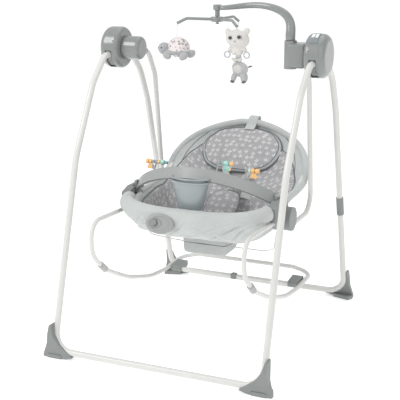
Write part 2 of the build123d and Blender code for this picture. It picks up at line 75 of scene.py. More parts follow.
for name, spot, size, watts in (("key", (-1.9, -2.3, 3.0), 1.7, 58), ("fill", (2.6, -1.6, 2.2), 2.6, 16),
                                ("top", (0.2, 0.8, 3.4), 2.6, 18)):
    lamp = bpy.data.objects.new(name, bpy.data.lights.new(name, "AREA"))
    lamp.data.size = size
    lamp.data.energy = watts
    lamp.location = spot
    lamp.rotation_euler = (Vector((0, 0, 0.45)) - Vector(spot)).to_track_quat("-Z", "Y").to_euler()
    bpy.context.collection.objects.link(lamp)


def shader(name, colour, roughness, **sockets):
    """A principled material with its constant values set on the shader itself."""
    made = bpy.data.materials.new(name)
    made.use_nodes = True
    surface = made.node_tree.nodes["Principled BSDF"]
    surface.inputs["Base Color"].default_value = (*colour, 1)
    surface.inputs["Roughness"].default_value = roughness
    for socket, value in sockets.items():
        surface.inputs[socket.replace("_", " ")].default_value = value
    return made


floor_mesh = bpy.data.meshes.new("floor")
floor_mesh.from_pydata([(-40, -40, 0), (40, -40, 0), (40, 40, 0), (-40, 40, 0)], [], [(0, 1, 2, 3)])
floor = bpy.data.objects.new("floor", floor_mesh)
bpy.context.collection.objects.link(floor)
floor.location.z = -0.0005
floor_mesh.materials.append(shader("floor_white", (0.92, 0.92, 0.92), 0.6, Emission_Color=(1, 1, 1, 1),
                                   Emission_Strength=0.36))

# ---- stand and runner tubes ----------------------------------------------------------
# Bent steel tube, powder coated satin white: the legs and floor bars of the stand,
# the swing arms, the rocker loops and the thin wire under the seat.
WHITE_TUBES = ("front_leg_left", "front_leg_right", "front_base_tube", "rear_leg_left", "rear_leg_right",
               "rear_base_tube", "swing_arm_left", "swing_arm_right", "rocker_side_left",
               "rocker_side_right", "rocker_rear_bar", "seat_front_tube", "under_wire", "back_frame",
               "stop_bar")


def dress(cad_name, material):
    """Gives a CAD piece its finish."""
    piece = bpy.data.objects[cad_name]
    piece.data.materials.clear()
    piece.data.materials.append(material)


def node(material, kind, **values):
    """Adds a node; values name its settings, or its inputs where it has no such setting."""
    made = material.node_tree.nodes.new(kind)
    for key, value in values.items():
        if hasattr(made, key):
            setattr(made, key, value)
        else:
            made.inputs[key.replace("_", " ")].default_value = value
    return made


def wire(material, *pairs):
    """Joins pairs of sockets, each an output and the input that it feeds."""
    for source, target in pairs:
        material.node_tree.links.new(source, target)


def uneven(material, tone, amount, scale, bump, bump_scale, low=0.0, high=0.0):
    """Cloudy colour, a grained surface, and roughness that drifts between low and high."""
    surface = material.node_tree.nodes["Principled BSDF"]
    place = node(material, "ShaderNodeTexCoord")
    cloud = node(material, "ShaderNodeTexNoise", Scale=scale, Detail=4.0, Roughness=0.6)
    ramp = node(material, "ShaderNodeMix", data_type="RGBA")
    base = surface.inputs["Base Color"].default_value[:3]
    ramp.inputs[6].default_value = (*base, 1)
    ramp.inputs[7].default_value = (*[c * tone for c in base], 1)
    spread = node(material, "ShaderNodeMapRange")
    spread.inputs["From Min"].default_value = 0.35
    spread.inputs["From Max"].default_value = 0.75
    spread.inputs["To Max"].default_value = amount
    grain = node(material, "ShaderNodeTexNoise", Scale=bump_scale, Detail=3.0)
    lift = node(material, "ShaderNodeBump", Strength=bump, Distance=0.0006)
    wire(material, (place.outputs["Object"], cloud.inputs["Vector"]),
         (place.outputs["Object"], grain.inputs["Vector"]),
         (cloud.outputs["Fac"], spread.inputs["Value"]), (spread.outputs["Result"], ramp.inputs[0]),
         (ramp.outputs[2], surface.inputs["Base Color"]), (grain.outputs["Fac"], lift.inputs["Height"]),
         (lift.outputs["Normal"], surface.inputs["Normal"]))
    if high:
        gloss = node(material, "ShaderNodeMapRange")
        gloss.inputs["To Min"].default_value = low
        gloss.inputs["To Max"].default_value = high
        wire(material, (cloud.outputs["Fac"], gloss.inputs["Value"]),
             (gloss.outputs["Result"], surface.inputs["Roughness"]))
    return material


powder_coat = uneven(shader("powder_coat_white", (0.66, 0.66, 0.64), 0.34, Coat_Weight=0.25,
                            Coat_Roughness=0.2), 0.93, 0.7, 14, 0.12, 900, 0.28, 0.42)
for name in WHITE_TUBES:
    dress(name, powder_coat)

# ---- moulded pieces ------------------------------------------------------------------
# Injection-moulded plastic in greys: glossy on the hub cases, knobs, mobile and
# cup, satin on the toy bar, and finely grained on the corner feet, sleeves,
# knuckles, flaps and brackets. The rocker pads are paler.
GLOSSY = ("hub_shell_left", "hub_shell_right", "hub_cover_left", "hub_cover_right", "swing_knob_left",
          "swing_knob_right", "mobile_arm", "mobile_cap", "mobile_rotor")
GRAINED = ("front_feet", "rear_feet", "rear_sleeves", "fold_knuckles", "bracket_left", "bracket_right",
           "stop_flaps")
gloss_grey = uneven(shader("gloss_grey", (0.235, 0.25, 0.245), 0.2, Coat_Weight=0.5, Coat_Roughness=0.08),
                    0.9, 0.5, 9, 0.06, 700, 0.16, 0.27)
grained_grey = uneven(shader("grained_grey", (0.235, 0.25, 0.245), 0.45),
                      0.88, 0.7, 12, 0.3, 1400, 0.38, 0.55)
tray_grey = uneven(shader("tray_grey", (0.315, 0.332, 0.326), 0.33, Coat_Weight=0.15, Coat_Roughness=0.2),
                   0.92, 0.5, 9, 0.15, 1100, 0.28, 0.4)
for name in GLOSSY:
    dress(name, gloss_grey)
for name in GRAINED:
    dress(name, grained_grey)
dress("toy_bar", tray_grey)
cup_grey = uneven(shader("cup_grey", (0.30, 0.335, 0.345), 0.16, Coat_Weight=0.7, Coat_Roughness=0.06),
                  0.92, 0.5, 9, 0.04, 700, 0.12, 0.22)
dress("bar_cup", cup_grey)
pad_grey = uneven(shader("pad_grey", (0.42, 0.43, 0.42), 0.5), 0.9, 0.6, 12, 0.3, 1400, 0.42, 0.58)
dress("rocker_pads", pad_grey)

# ---- drive, screws and keys ----------------------------------------------------------
# Steel shafts and screws, nylon bushes and gear, and rubber keys printed white
# on a darker keyplate let into the right hub.
steel = uneven(shader("bright_steel", (0.62, 0.62, 0.63), 0.3, Metallic=1.0), 0.8, 0.6, 60, 0.2, 1600, 0.24,
               0.42)
nylon = uneven(shader("nylon", (0.80, 0.80, 0.76), 0.45), 0.93, 0.6, 30, 0.2, 900, 0.38, 0.5)
keyplate = uneven(shader("keyplate", (0.22, 0.25, 0.26), 0.35), 0.9, 0.6, 40, 0.25, 1500, 0.3, 0.42)
key_white = uneven(shader("key_white", (0.86, 0.87, 0.87), 0.42), 0.94, 0.6, 60, 0.2, 1200, 0.36, 0.5)
for name in ("swing_shafts", "hub_screws", "drive_motor", "battery_cells"):
    dress(name, steel)
for name in ("shaft_bushes", "drive_gear"):
    dress(name, nylon)
dress("control_panel", keyplate)
for name in ("speed_button", "music_button"):
    dress(name, key_white)
dress("vibration_button", grained_grey)

# ---- fold shutters -------------------------------------------------------------------
# Inside each hub a curved plate moulded to the folding leg closes the slot that
# the leg swings in. It turns with the front frame, just under the hub's wall.
SWING_Y = 0.0195                   # the swing axis, from the middle of the stand
HUB_Z = 0.9
SHUTTER_X, SHUTTER_HALF = 0.338, 0.0115
SHUTTER_IN, SHUTTER_OUT = 0.0565, 0.0615
SHUTTER_FROM, SHUTTER_TO, SHUTTER_STEPS = math.radians(150), math.radians(256), 34


def from_shape(name, shape):
    """Puts a built shape into the scene as an object."""
    made = bpy.data.meshes.new(name)
    shape.to_mesh(made)
    shape.free()
    piece = bpy.data.objects.new(name, made)
    bpy.context.collection.objects.link(piece)
    return piece


for side, name in ((-1, "fold_shutter_left"), (1, "fold_shutter_right")):
    shape = bmesh.new()
    hoops = []
    for k in range(SHUTTER_STEPS + 1):
        turn = SHUTTER_FROM + (SHUTTER_TO - SHUTTER_FROM) * k / SHUTTER_STEPS
        hoops.append([shape.verts.new((side * SHUTTER_X + dx, SWING_Y + r * math.cos(turn),
                                       HUB_Z + r * math.sin(turn)))
                      for dx, r in ((-SHUTTER_HALF, SHUTTER_IN), (SHUTTER_HALF, SHUTTER_IN),
                                    (SHUTTER_HALF, SHUTTER_OUT), (-SHUTTER_HALF, SHUTTER_OUT))])
    for one, two in zip(hoops, hoops[1:]):
        for j in range(4):
            shape.faces.new((one[j], one[(j + 1) % 4], two[(j + 1) % 4], two[j]))
    shape.faces.new(hoops[0])
    shape.faces.new(hoops[-1])
    bmesh.ops.recalc_face_normals(shape, faces=shape.faces)
    bmesh.ops.bevel(shape, geom=shape.edges[:], offset=0.0008, segments=2, affect="EDGES")
    shutter = from_shape(name, shape)
    shutter.data.materials.append(grained_grey)
    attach(shutter, "front_frame")

# ---- seat fabric ---------------------------------------------------------------------
# The seat is one padded bucket of light grey polyester. Its cross sections run
# from the front roll, down to the pan and up the backrest, and hang from the rim.
BACK_TILT = math.radians(44)
BACK_ORIGIN = (245.0, 522.0)       # the backrest's middle: y behind the swing axis, z above the floor
HALF = 0.5


def at(x, y, z):
    """The point, in metres, at x from the middle, y behind the swing axis, z above the floor, all in mm."""
    return Vector((x / 1000, y / 1000 + SWING_Y, z / 1000))


def on_back(x, s, lift=0.0):
    """A point of the backrest: x, way up the back, and height above its face, in millimetres."""
    y = BACK_ORIGIN[0] + s * math.cos(BACK_TILT) - lift * math.sin(BACK_TILT)
    z = BACK_ORIGIN[1] + s * math.sin(BACK_TILT) + lift * math.cos(BACK_TILT)
    return (x, y, z)


def smooth(points, t):
    """The point at t, from 0 to 1, of a smooth line through all the points."""
    spot = min(max(t, 0.0), 1.0) * (len(points) - 1)
    k = min(int(spot), len(points) - 2)
    f = spot - k
    a, b, c, d = (points[min(max(k + step, 0), len(points) - 1)] for step in (-1, 0, 1, 2))
    return [HALF * (2 * q + (r - p) * f + (2 * p - 5 * q + 4 * r - s) * f * f
                    + (3 * q - p - 3 * r + s) * f ** 3) for p, q, r, s in zip(a, b, c, d)]


# Each station: half width, then y and z of the rim, then y and z of the middle.
STATIONS = [(104, -228, 440, -228, 440), (152, -210, 441, -203, 414), (192, -178, 443, -168, 372),
            (216, -128, 446, -124, 338), (229, -66, 448, -66, 316), (236, 0, 449, 0, 308),
            (240, 66, 451, 58, 318), (243, 128, 456, 96, 350),
            (246, *on_back(0, -82, 6)[1:], *on_back(0, -168, -2)[1:]),
            (243, *on_back(0, -42, 7)[1:], *on_back(0, -112, -14)[1:]),
            (233, *on_back(0, -2, 8)[1:], *on_back(0, -52, -20)[1:]),
            (212, *on_back(0, 40, 8)[1:], *on_back(0, 6, -21)[1:]),
            (178, *on_back(0, 76, 8)[1:], *on_back(0, 58, -18)[1:]),
            (136, *on_back(0, 104, 8)[1:], *on_back(0, 100, -12)[1:]),
            (88, *on_back(0, 126, 8)[1:], *on_back(0, 129, -4)[1:]),
            (34, *on_back(0, 142, 8)[1:], *on_back(0, 146, 6)[1:])]
# The section: how far out, and how far up from the middle to the rim, in the seat and on the back.
SEAT_SECTION = [(0, 0), (0.2, 0.0), (0.42, 0.012), (0.62, 0.06), (0.77, 0.2), (0.86, 0.46), (0.905, 0.76),
                (0.94, 0.93), (1, 1)]
BACK_SECTION = [(0, 0), (0.2, 0.03), (0.4, 0.12), (0.57, 0.3), (0.7, 0.52), (0.8, 0.74), (0.88, 0.9),
                (0.94, 0.99), (1, 1)]
BACK_FROM, BACK_WHOLE = 0.42, 0.58   # where the back's section begins and where it has taken over


def bucket(v, u, wrinkle=1.0):
    """The seat's inner face: v runs from the front roll to the top, u from side to side."""
    width, rim_y, rim_z, mid_y, mid_z = smooth(STATIONS, v)
    share = min(1.0, max(0.0, (v - BACK_FROM) / (BACK_WHOLE - BACK_FROM)))
    both = zip(smooth(SEAT_SECTION, abs(u)), smooth(BACK_SECTION, abs(u)))
    out, up = (p + (q - p) * share for p, q in both)
    x = math.copysign(width * out, u)
    y = mid_y + (rim_y - mid_y) * up
    z = mid_z + (rim_z - mid_z) * up
    fold = noise.noise(Vector((x / 46, y / 30, z / 38))) + 0.5 * noise.noise(Vector((x / 20, y / 17, z / 21)))
    calm = wrinkle * 3.4 * min(1.0, 9 * (1 - abs(u)), 12 * v + 0.15, 12 * (1 - v) + 0.15)
    return at(x, y, z + fold * calm)


def inward(v, u):
    """Direction out of the fabric into the seat."""
    step = 0.012
    along = bucket(v + step, u, 0) - bucket(v - step, u, 0)
    across = bucket(v, u + step, 0) - bucket(v, u - step, 0)
    return across.cross(along).normalized()


def grid(name, rows, wrap=False):
    """A quad mesh through rows of points, with a UV map in metres."""
    made = bpy.data.meshes.new(name)
    columns = len(rows[0])
    faces, spots = [], []
    down = [0.0]
    for k in range(1, len(rows)):
        down.append(down[-1] + (rows[k][columns // 2] - rows[k - 1][columns // 2]).length)
    along = []
    for row in rows:
        run = [0.0]
        for j in range(1, columns):
            run.append(run[-1] + (row[j] - row[j - 1]).length)
        run.append(run[-1] + (row[0] - row[-1]).length)
        along.append(run)
    middle = 0 if wrap else columns // 2
    along = [[run_x - run[middle] for run_x in run] for run in along]
    for k in range(len(rows) - 1):
        for j in range(columns if wrap else columns - 1):
            nxt = (j + 1) % columns
            faces.append((k * columns + j, k * columns + nxt, (k + 1) * columns + nxt, (k + 1) * columns + j))
            spots += [(along[k][j], down[k]), (along[k][j + 1], down[k]),
                      (along[k + 1][j + 1], down[k + 1]), (along[k + 1][j], down[k + 1])]
    made.from_pydata([p for row in rows for p in row], [], faces)
    layer = made.uv_layers.new(name="cloth")
    for loop, spot in zip(layer.data, spots):
        loop.uv = spot
    for face in made.polygons:
        face.use_smooth = True
    piece = bpy.data.objects.new(name, made)
    bpy.context.collection.objects.link(piece)
    return piece


def thicken(piece, thickness, offset=-1.0):
    """Gives a sheet its thickness and a soft edge."""
    wall = piece.modifiers.new("wall", "SOLIDIFY")
    wall.thickness = thickness
    wall.offset = offset
    soft = piece.modifiers.new("soft", "SUBSURF")
    soft.levels = 1
    soft.render_levels = 1
    return bake(piece)


def bake(piece):
    """Makes the modified shape the piece's own mesh."""
    bpy.context.view_layer.update()
    seen = piece.evaluated_get(bpy.context.evaluated_depsgraph_get())
    made = bpy.data.meshes.new_from_object(seen)
    piece.modifiers.clear()
    piece.data = made
    for face in made.polygons:
        face.use_smooth = True
    return piece


def outward(piece):
    """Turns every face of a closed piece to the outside."""
    shape = bmesh.new()
    shape.from_mesh(piece.data)
    bmesh.ops.remove_doubles(shape, verts=shape.verts, dist=0.00001)
    bmesh.ops.recalc_face_normals(shape, faces=shape.faces)
    shape.to_mesh(piece.data)
    shape.free()
    return piece


def weave(material, thread, depth, fleck):
    """Plain weave of crossed threads, in metres, with slubs and a fleck of paler yarn."""
    surface = material.node_tree.nodes["Principled BSDF"]
    place = node(material, "ShaderNodeTexCoord")
    base = surface.inputs["Base Color"].default_value[:3]
    warp = node(material, "ShaderNodeTexWave", Scale=1 / thread / 6.28, Distortion=1.2, bands_direction="X")
    weft = node(material, "ShaderNodeTexWave", Scale=1 / thread / 6.28, Distortion=1.2, bands_direction="Z")
    both = node(material, "ShaderNodeMath", operation="MAXIMUM")
    slub = node(material, "ShaderNodeTexNoise", Scale=120.0, Detail=6.0, Roughness=0.75)
    cloud = node(material, "ShaderNodeTexNoise", Scale=11.0, Detail=3.0)
    height = node(material, "ShaderNodeMath", operation="ADD")
    lift = node(material, "ShaderNodeBump", Strength=depth, Distance=0.0012)
    tint = node(material, "ShaderNodeMix", data_type="RGBA")
    tint.inputs[6].default_value = (*[c * (1 - fleck) for c in base], 1)
    tint.inputs[7].default_value = (*[min(1, c * (1 + fleck)) for c in base], 1)
    shade = node(material, "ShaderNodeMix", data_type="RGBA", blend_type="MULTIPLY")
    shade.inputs[0].default_value = 0.22
    spot = place.outputs["Object"]
    wire(material, (spot, warp.inputs["Vector"]), (spot, weft.inputs["Vector"]),
         (spot, slub.inputs["Vector"]), (spot, cloud.inputs["Vector"]),
         (warp.outputs["Fac"], both.inputs[0]), (weft.outputs["Fac"], both.inputs[1]),
         (both.outputs[0], height.inputs[0]), (slub.outputs["Fac"], height.inputs[1]),
         (height.outputs[0], lift.inputs["Height"]), (lift.outputs["Normal"], surface.inputs["Normal"]),
         (slub.outputs["Fac"], tint.inputs[0]), (tint.outputs[2], shade.inputs[6]),
         (cloud.outputs["Fac"], shade.inputs[7]), (shade.outputs[2], surface.inputs["Base Color"]))
    return material


seat_cloth = weave(shader("seat_cloth", (0.57, 0.60, 0.59), 0.85, Sheen_Weight=0.3, Sheen_Roughness=0.5),
                   0.0011, 0.35, 0.12)
SEAT_ROWS = 96
SEAT_COLUMNS = 72
rows = [[bucket(k / SEAT_ROWS, 2 * j / SEAT_COLUMNS - 1) for j in range(SEAT_COLUMNS + 1)]
        for k in range(SEAT_ROWS + 1)]
seat_shell = thicken(grid("seat_shell", rows), 0.009)
seat_shell.data.materials.append(seat_cloth)


def hose(name, centres, radius, sides=14):
    """A round roll along a line of centres, closed at both ends."""
    rings = []
    for k, centre in enumerate(centres):
        way = (centres[min(k + 1, len(centres) - 1)] - centres[max(k - 1, 0)]).normalized()
        side = way.cross(Vector((0, 0, 1)))
        side = side.normalized() if side.length > 0.05 else Vector((0, 1, 0))
        up = side.cross(way)
        rings.append([centre + side * radius * math.cos(math.tau * j / sides)
                      + up * radius * math.sin(math.tau * j / sides) for j in range(sides)])
    first, last = centres[0], centres[-1]
    piece = grid(name, [[first] * sides] + rings + [[last] * sides], wrap=True)
    return outward(piece)


def rim_line(v0, v1, count, inset=0.0, lift=0.0):
    """The seat's edge from the left at v0, over the top, to the right at v0."""
    left = [bucket(v0 + (v1 - v0) * k / count, -1 + inset, 0) for k in range(count + 1)]
    right = [bucket(v1 - (v1 - v0) * k / count, 1 - inset, 0) for k in range(count + 1)]
    return [p + Vector((0, 0, lift)) for p in left + right]


edge_roll = hose("seat_edge_roll", rim_line(0.26, 1.0, 90, 0.012, -0.006), 0.0115)
edge_roll.data.materials.append(seat_cloth)

# ---- front roll and apron ------------------------------------------------------------
# The front of the seat is a padded sleeve over the front tube. The same cloth
# hangs from it as a wide apron, tucked under and drawn up towards both brackets.
FRONT_LINE = [(-233, -136, 436), (-222, -172, 434), (-193, -199, 430), (-152, -217, 426.5), (-84, -230, 424),
              (0, -232, 424), (84, -230, 424), (152, -217, 426.5), (193, -199, 430), (222, -172, 434),
              (233, -136, 436)]
APRON_SECTION = [(-20, -6), (-19, 6), (-12, 17), (0, 21), (12, 17), (19, 6), (20, -8), (17, -24), (10, -42),
                 (-3, -57), (-22, -67), (-44, -72), (-62, -73)]
# Each crease: x, height, slope and depth.
CREASES = [(-150, -30, 0.9, 4), (-104, -40, -1.3, 5), (-8, -30, 1.6, 5), (34, -50, 2.6, 6),
           (78, -36, -2.4, 5), (112, -44, 2.1, 6), (146, -30, 1.4, 5), (176, -26, 0.8, 5)]
APRON_COLUMNS = 160
APRON_ROWS = 44


def apron(t, d):
    """t runs along the front from left to right, d from inside the seat, over and down."""
    x, y, z = smooth(FRONT_LINE, t)
    ahead, behind = smooth(FRONT_LINE, t + 0.01), smooth(FRONT_LINE, t - 0.01)
    way = Vector((ahead[0] - behind[0], ahead[1] - behind[1])).normalized()
    out, up = smooth(APRON_SECTION, d)
    reach = min(1.0, max(0.0, (208 - abs(x)) / 50)) ** 0.75
    if up < -8:
        up = -8 + (up + 8) * (0.12 + 0.88 * reach)
        out = 17 + (out - 17) * reach if out < 17 else out
    fold = noise.noise(Vector((x / 60, up / 26, 3.1))) * 5.5
    fold += noise.noise(Vector((x / 23, up / 40, 7.7))) * 2.6
    fold *= min(1.0, max(0.0, -up / 34))
    drape = 3.6 * math.sin(x / 29 + up / 19) * min(1.0, max(0.0, (-up - 20) / 40))
    for crease_x, crease_up, slope, deep in CREASES:
        off = x - crease_x - (up - crease_up) * slope
        out -= deep * math.exp(-(off / 6) ** 2) * min(1.0, max(0.0, -up / 26))
        out += deep * 0.7 * math.exp(-((off - 12) / 9) ** 2) * min(1.0, max(0.0, -up / 26))
    out += fold + drape
    return at(x + way.y * out, y - way.x * out, z + up)


rows = [[apron(j / APRON_COLUMNS, k / APRON_ROWS) for j in range(APRON_COLUMNS + 1)]
        for k in range(APRON_ROWS + 1)]
seat_apron = thicken(grid("seat_apron", rows), 0.0035)
seat_apron.data.materials.append(seat_cloth)

# ---- cup lip -------------------------------------------------------------------------
# The drink cup is moulded in a glossy grey, with a rolled lip a little below the
# top of its wall. The lip follows the cup's own outline.
cup_box = [bpy.data.objects["bar_cup"].matrix_world @ Vector(corner)
           for corner in bpy.data.objects["bar_cup"].bound_box]
cup_top = max(corner.z for corner in cup_box)
cup_x = [min(corner.x for corner in cup_box), max(corner.x for corner in cup_box)]
cup_y = [min(corner.y for corner in cup_box), max(corner.y for corner in cup_box)]
LIP_DROP, LIP_RADIUS, LIP_TURN = 0.0035, 0.0028, 72
lip_line = []
for k in range(LIP_TURN + 1):
    turn = math.tau * k / LIP_TURN
    lip_line.append(Vector((sum(cup_x) / 2 + (cup_x[1] - cup_x[0]) / 2 * math.cos(turn),
                            sum(cup_y) / 2 + (cup_y[1] - cup_y[0]) / 2 * math.sin(turn), cup_top - LIP_DROP)))
lip = hose("cup_lip", lip_line, LIP_RADIUS, 10)
lip.data.materials.append(cup_grey)
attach(lip, "tray")

# ---- printed liner -------------------------------------------------------------------
# A thin quilted liner lies in the bucket. It is grey cotton with a small printed
# sprig, bound all round with a dark piping.
LINER_FRONT, LINER_TOP = 0.115, 0.80
LINER_HALF = [(0.56,), (0.72,), (0.80,), (0.83,), (0.83,), (0.80,), (0.76,), (0.70,), (0.64,), (0.55,),
              (0.44,)]
LINER_ROWS, LINER_COLUMNS = 84, 56
SPRIG_CELL = 0.022                 # spacing of the printed sprigs


def sprig_print(name, ground, ink, coords="UV"):
    """Cotton print: on each cell of the cloth three small leaves, a stalk and two dots."""
    cloth = shader(name, ground, 0.85, Sheen_Weight=0.25, Sheen_Roughness=0.5)
    surface = cloth.node_tree.nodes["Principled BSDF"]
    place = node(cloth, "ShaderNodeTexCoord")
    flat = node(cloth, "ShaderNodeMapping")
    flat.inputs["Rotation"].default_value = (-BACK_TILT if coords == "Object" else 0, 0, 0)
    flat.inputs["Scale"].default_value = (1 / SPRIG_CELL,) * 3
    cells = node(cloth, "ShaderNodeTexVoronoi", voronoi_dimensions="2D", Scale=1.0, Randomness=0.55)
    local = node(cloth, "ShaderNodeVectorMath", operation="SUBTRACT")
    wire(cloth, (place.outputs[coords], flat.inputs["Vector"]), (flat.outputs[0], cells.inputs["Vector"]),
         (flat.outputs[0], local.inputs[0]), (cells.outputs["Position"], local.inputs[1]))
    nearest = None
    for x, y, turn, long, wide in ((0, 0.17, 0, 0.23, 0.11), (-0.19, -0.03, 52, 0.21, 0.1),
                                   (0.19, -0.03, -52, 0.21, 0.1), (0, -0.25, 0, 0.17, 0.04),
                                   (0.4, 0.36, 0, 0.07, 0.07), (-0.36, 0.4, 0, 0.05, 0.05)):
        leaf = node(cloth, "ShaderNodeMapping", vector_type="TEXTURE")
        leaf.inputs["Location"].default_value = (x, y, 0)
        leaf.inputs["Rotation"].default_value = (0, 0, math.radians(turn))
        leaf.inputs["Scale"].default_value = (wide, long, 1000)
        size = node(cloth, "ShaderNodeVectorMath", operation="LENGTH")
        wire(cloth, (local.outputs[0], leaf.inputs["Vector"]), (leaf.outputs[0], size.inputs[0]))
        if nearest is None:
            nearest = size.outputs["Value"]
        else:
            lower = node(cloth, "ShaderNodeMath", operation="MINIMUM")
            wire(cloth, (nearest, lower.inputs[0]), (size.outputs["Value"], lower.inputs[1]))
            nearest = lower.outputs[0]
    edge = node(cloth, "ShaderNodeMapRange")
    edge.inputs["From Min"].default_value = 0.75
    edge.inputs["From Max"].default_value = 1.1
    edge.inputs["To Min"].default_value = 0.75
    edge.inputs["To Max"].default_value = 0.0
    mix = node(cloth, "ShaderNodeMix", data_type="RGBA")
    mix.inputs[6].default_value = (*ground, 1)
    mix.inputs[7].default_value = (*ink, 1)
    slub = node(cloth, "ShaderNodeTexNoise", Scale=260.0, Detail=5.0)
    patch = node(cloth, "ShaderNodeTexNoise", Scale=24.0, Detail=3.0)
    shade = node(cloth, "ShaderNodeMix", data_type="RGBA", blend_type="MULTIPLY")
    shade.inputs[0].default_value = 0.24
    height = node(cloth, "ShaderNodeBump", Strength=0.4, Distance=0.001)
    wire(cloth, (nearest, edge.inputs["Value"]), (edge.outputs["Result"], mix.inputs[0]),
         (place.outputs["Object"], slub.inputs["Vector"]), (place.outputs["Object"], patch.inputs["Vector"]),
         (mix.outputs[2], shade.inputs[6]), (patch.outputs["Fac"], shade.inputs[7]),
         (shade.outputs[2], surface.inputs["Base Color"]),
         (slub.outputs["Fac"], height.inputs["Height"]), (height.outputs[0], surface.inputs["Normal"]))
    return cloth


liner_print = sprig_print("liner_print", (0.40, 0.395, 0.405), (0.74, 0.74, 0.755))
piping_dark = weave(shader("piping_dark", (0.17, 0.185, 0.20), 0.8, Sheen_Weight=0.2), 0.0009, 0.3, 0.2)


def liner_half(t):
    """Half width of the liner, as a share of the seat's, rounded off at both ends."""
    ends = min(1.0, 1 - (1 - min(t, 1 - t) / 0.1) ** 2.4) if min(t, 1 - t) < 0.1 else 1.0
    return smooth(LINER_HALF, t)[0] * max(0.0, ends) ** 0.5


def liner(t, w):
    """t from the front end to the top, w from side to side of the liner."""
    v = LINER_FRONT + (LINER_TOP - LINER_FRONT) * t
    u = liner_half(t) * w
    edge = min(1.0, (1 - abs(w)) / 0.16, min(t, 1 - t) / 0.05)
    channel = abs(math.sin(math.pi * 7 * t)) ** 0.35 if abs(u) > 0.0 else 1.0
    height = 0.0005 + 0.0095 * math.sqrt(max(0.0, 1 - (1 - edge) ** 2)) * (0.62 + 0.38 * channel)
    return bucket(v, u) + inward(v, u) * height


rows = [[liner(k / LINER_ROWS, 2 * j / LINER_COLUMNS - 1) for j in range(LINER_COLUMNS + 1)]
        for k in range(LINER_ROWS + 1)]
seat_liner = thicken(grid("seat_liner", rows), 0.003)
seat_liner.data.materials.append(liner_print)

LINER_TURN = 120
loop = []
for k in range(LINER_TURN + 1):
    share = k / LINER_TURN
    lift = inward(LINER_FRONT + (LINER_TOP - LINER_FRONT) * share, -liner_half(share)) * 0.001
    loop.append(liner(share, -1) + lift)
loop += [liner(k / LINER_TURN, 1) for k in range(LINER_TURN, -1, -1)]
liner_piping = hose("liner_piping", loop, 0.0021, 8)
liner_piping.data.materials.append(piping_dark)

# A seam runs up each side of the backrest.
SEAM_FROM, SEAM_TO, SEAM_SIDE = 0.60, 0.925, 0.70
back_seams = []
for side, name in ((-1, "back_seam_left"), (1, "back_seam_right")):
    line = [bucket(SEAM_FROM + (SEAM_TO - SEAM_FROM) * k / 60, side * SEAM_SIDE) for k in range(61)]
    back_seams.append(hose(name, line, 0.0012, 8))
    back_seams[-1].data.materials.append(piping_dark)

# On the real seat the bucket hangs from the seat at the front and from the backrest behind; here its pieces
# are fixed in place as built, and only the apron is attached, to the seat.
BLEND_START, BLEND_END = at(0, 30, 430), at(0, 165, 430)
WITH_SHELL = ("seat", "backrest", BLEND_START, BLEND_END)
for piece in (seat_shell, edge_roll, seat_liner, liner_piping, *back_seams):
    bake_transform(piece)
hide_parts("seat_sling", "back_sling")
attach(seat_apron, "seat")

# ---- head pillow ---------------------------------------------------------------------
# An egg-shaped pillow of the printed cotton, filled with fibre, with a plain grey
# gusset and two rows of dark piping. A loop at the top of the back holds it.
PILLOW_OUTLINE = [(0, -66), (64, -62), (114, -38), (140, 10), (136, 58), (100, 98), (44, 115), (0, 118)]
PILLOW_MIDDLE = (-4, 27)
pillow_print = sprig_print("pillow_print", (0.44, 0.435, 0.445), (0.82, 0.82, 0.835), "Object")
PILLOW_TURN, PILLOW_RINGS = 160, 30
PILLOW_PRINTED = PILLOW_TURN * 28      # faces inside the plain border
PILLOW_THICK = 34.0


def pillow_edge(a):
    """Outline at angle share a, from the bottom round to the bottom again."""
    x, s = smooth(PILLOW_OUTLINE, 2 * min(a, 1 - a))
    return PILLOW_MIDDLE[0] + math.copysign(x, HALF - a), s


def pillow(a, r, top):
    """Point of the pillow's upper or lower face at share r of the way to its edge."""
    x, s = pillow_edge(a)
    x, s = PILLOW_MIDDLE[0] + (x - PILLOW_MIDDLE[0]) * r, PILLOW_MIDDLE[1] + (s - PILLOW_MIDDLE[1]) * r
    crown = max(0.0, 1 - r ** 2.6) ** 0.55
    pucker = 1 + 0.05 * math.sin(a * math.tau * 23) * r ** 3
    if top:
        lift = -2 + PILLOW_THICK * 0.62 * crown * pucker + 1.6 * noise.noise(Vector((x / 34, s / 34, 1.7)))
    else:
        lift = -2 - PILLOW_THICK * 0.38 * crown
    return at(*on_back(x, s, lift))


rows = [[pillow(j / PILLOW_TURN, k / PILLOW_RINGS, True) for j in range(PILLOW_TURN)]
        for k in range(PILLOW_RINGS + 1)]
rows += [[pillow(j / PILLOW_TURN, k / PILLOW_RINGS, False) for j in range(PILLOW_TURN)]
         for k in range(PILLOW_RINGS - 1, -1, -1)]
head_cushion = grid("head_cushion", rows, wrap=True)
head_cushion.data.materials.append(pillow_print)
head_cushion.data.materials.append(seat_cloth)
for face in head_cushion.data.polygons:
    face.material_index = 0 if face.index < PILLOW_PRINTED else 1
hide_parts("head_pillow")
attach(head_cushion, "backrest")
for name, share, radius in (("pillow_piping", 1.0, 0.0026), ("pillow_inner_piping", 28 / 30, 0.0015)):
    loop = [pillow((k % PILLOW_TURN) / PILLOW_TURN, share, True) for k in range(PILLOW_TURN + 1)]
    welt = hose(name, loop, radius, 8)
    welt.data.materials.append(piping_dark)
    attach(welt, "backrest")


def band(name, centres, sides, width, thickness, material, body):
    """Flat webbing along a line of centres; sides point across its width."""
    rows = []
    for centre, side in zip(centres, sides):
        rows.append([centre + side * width * (j / 6 - HALF) for j in range(7)])
    strap = thicken(grid(name, rows), thickness, 0.0)
    outward(strap)
    strap.data.materials.append(material)
    if isinstance(body, str):
        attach(strap, body)
    else:
        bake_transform(strap)
    return strap


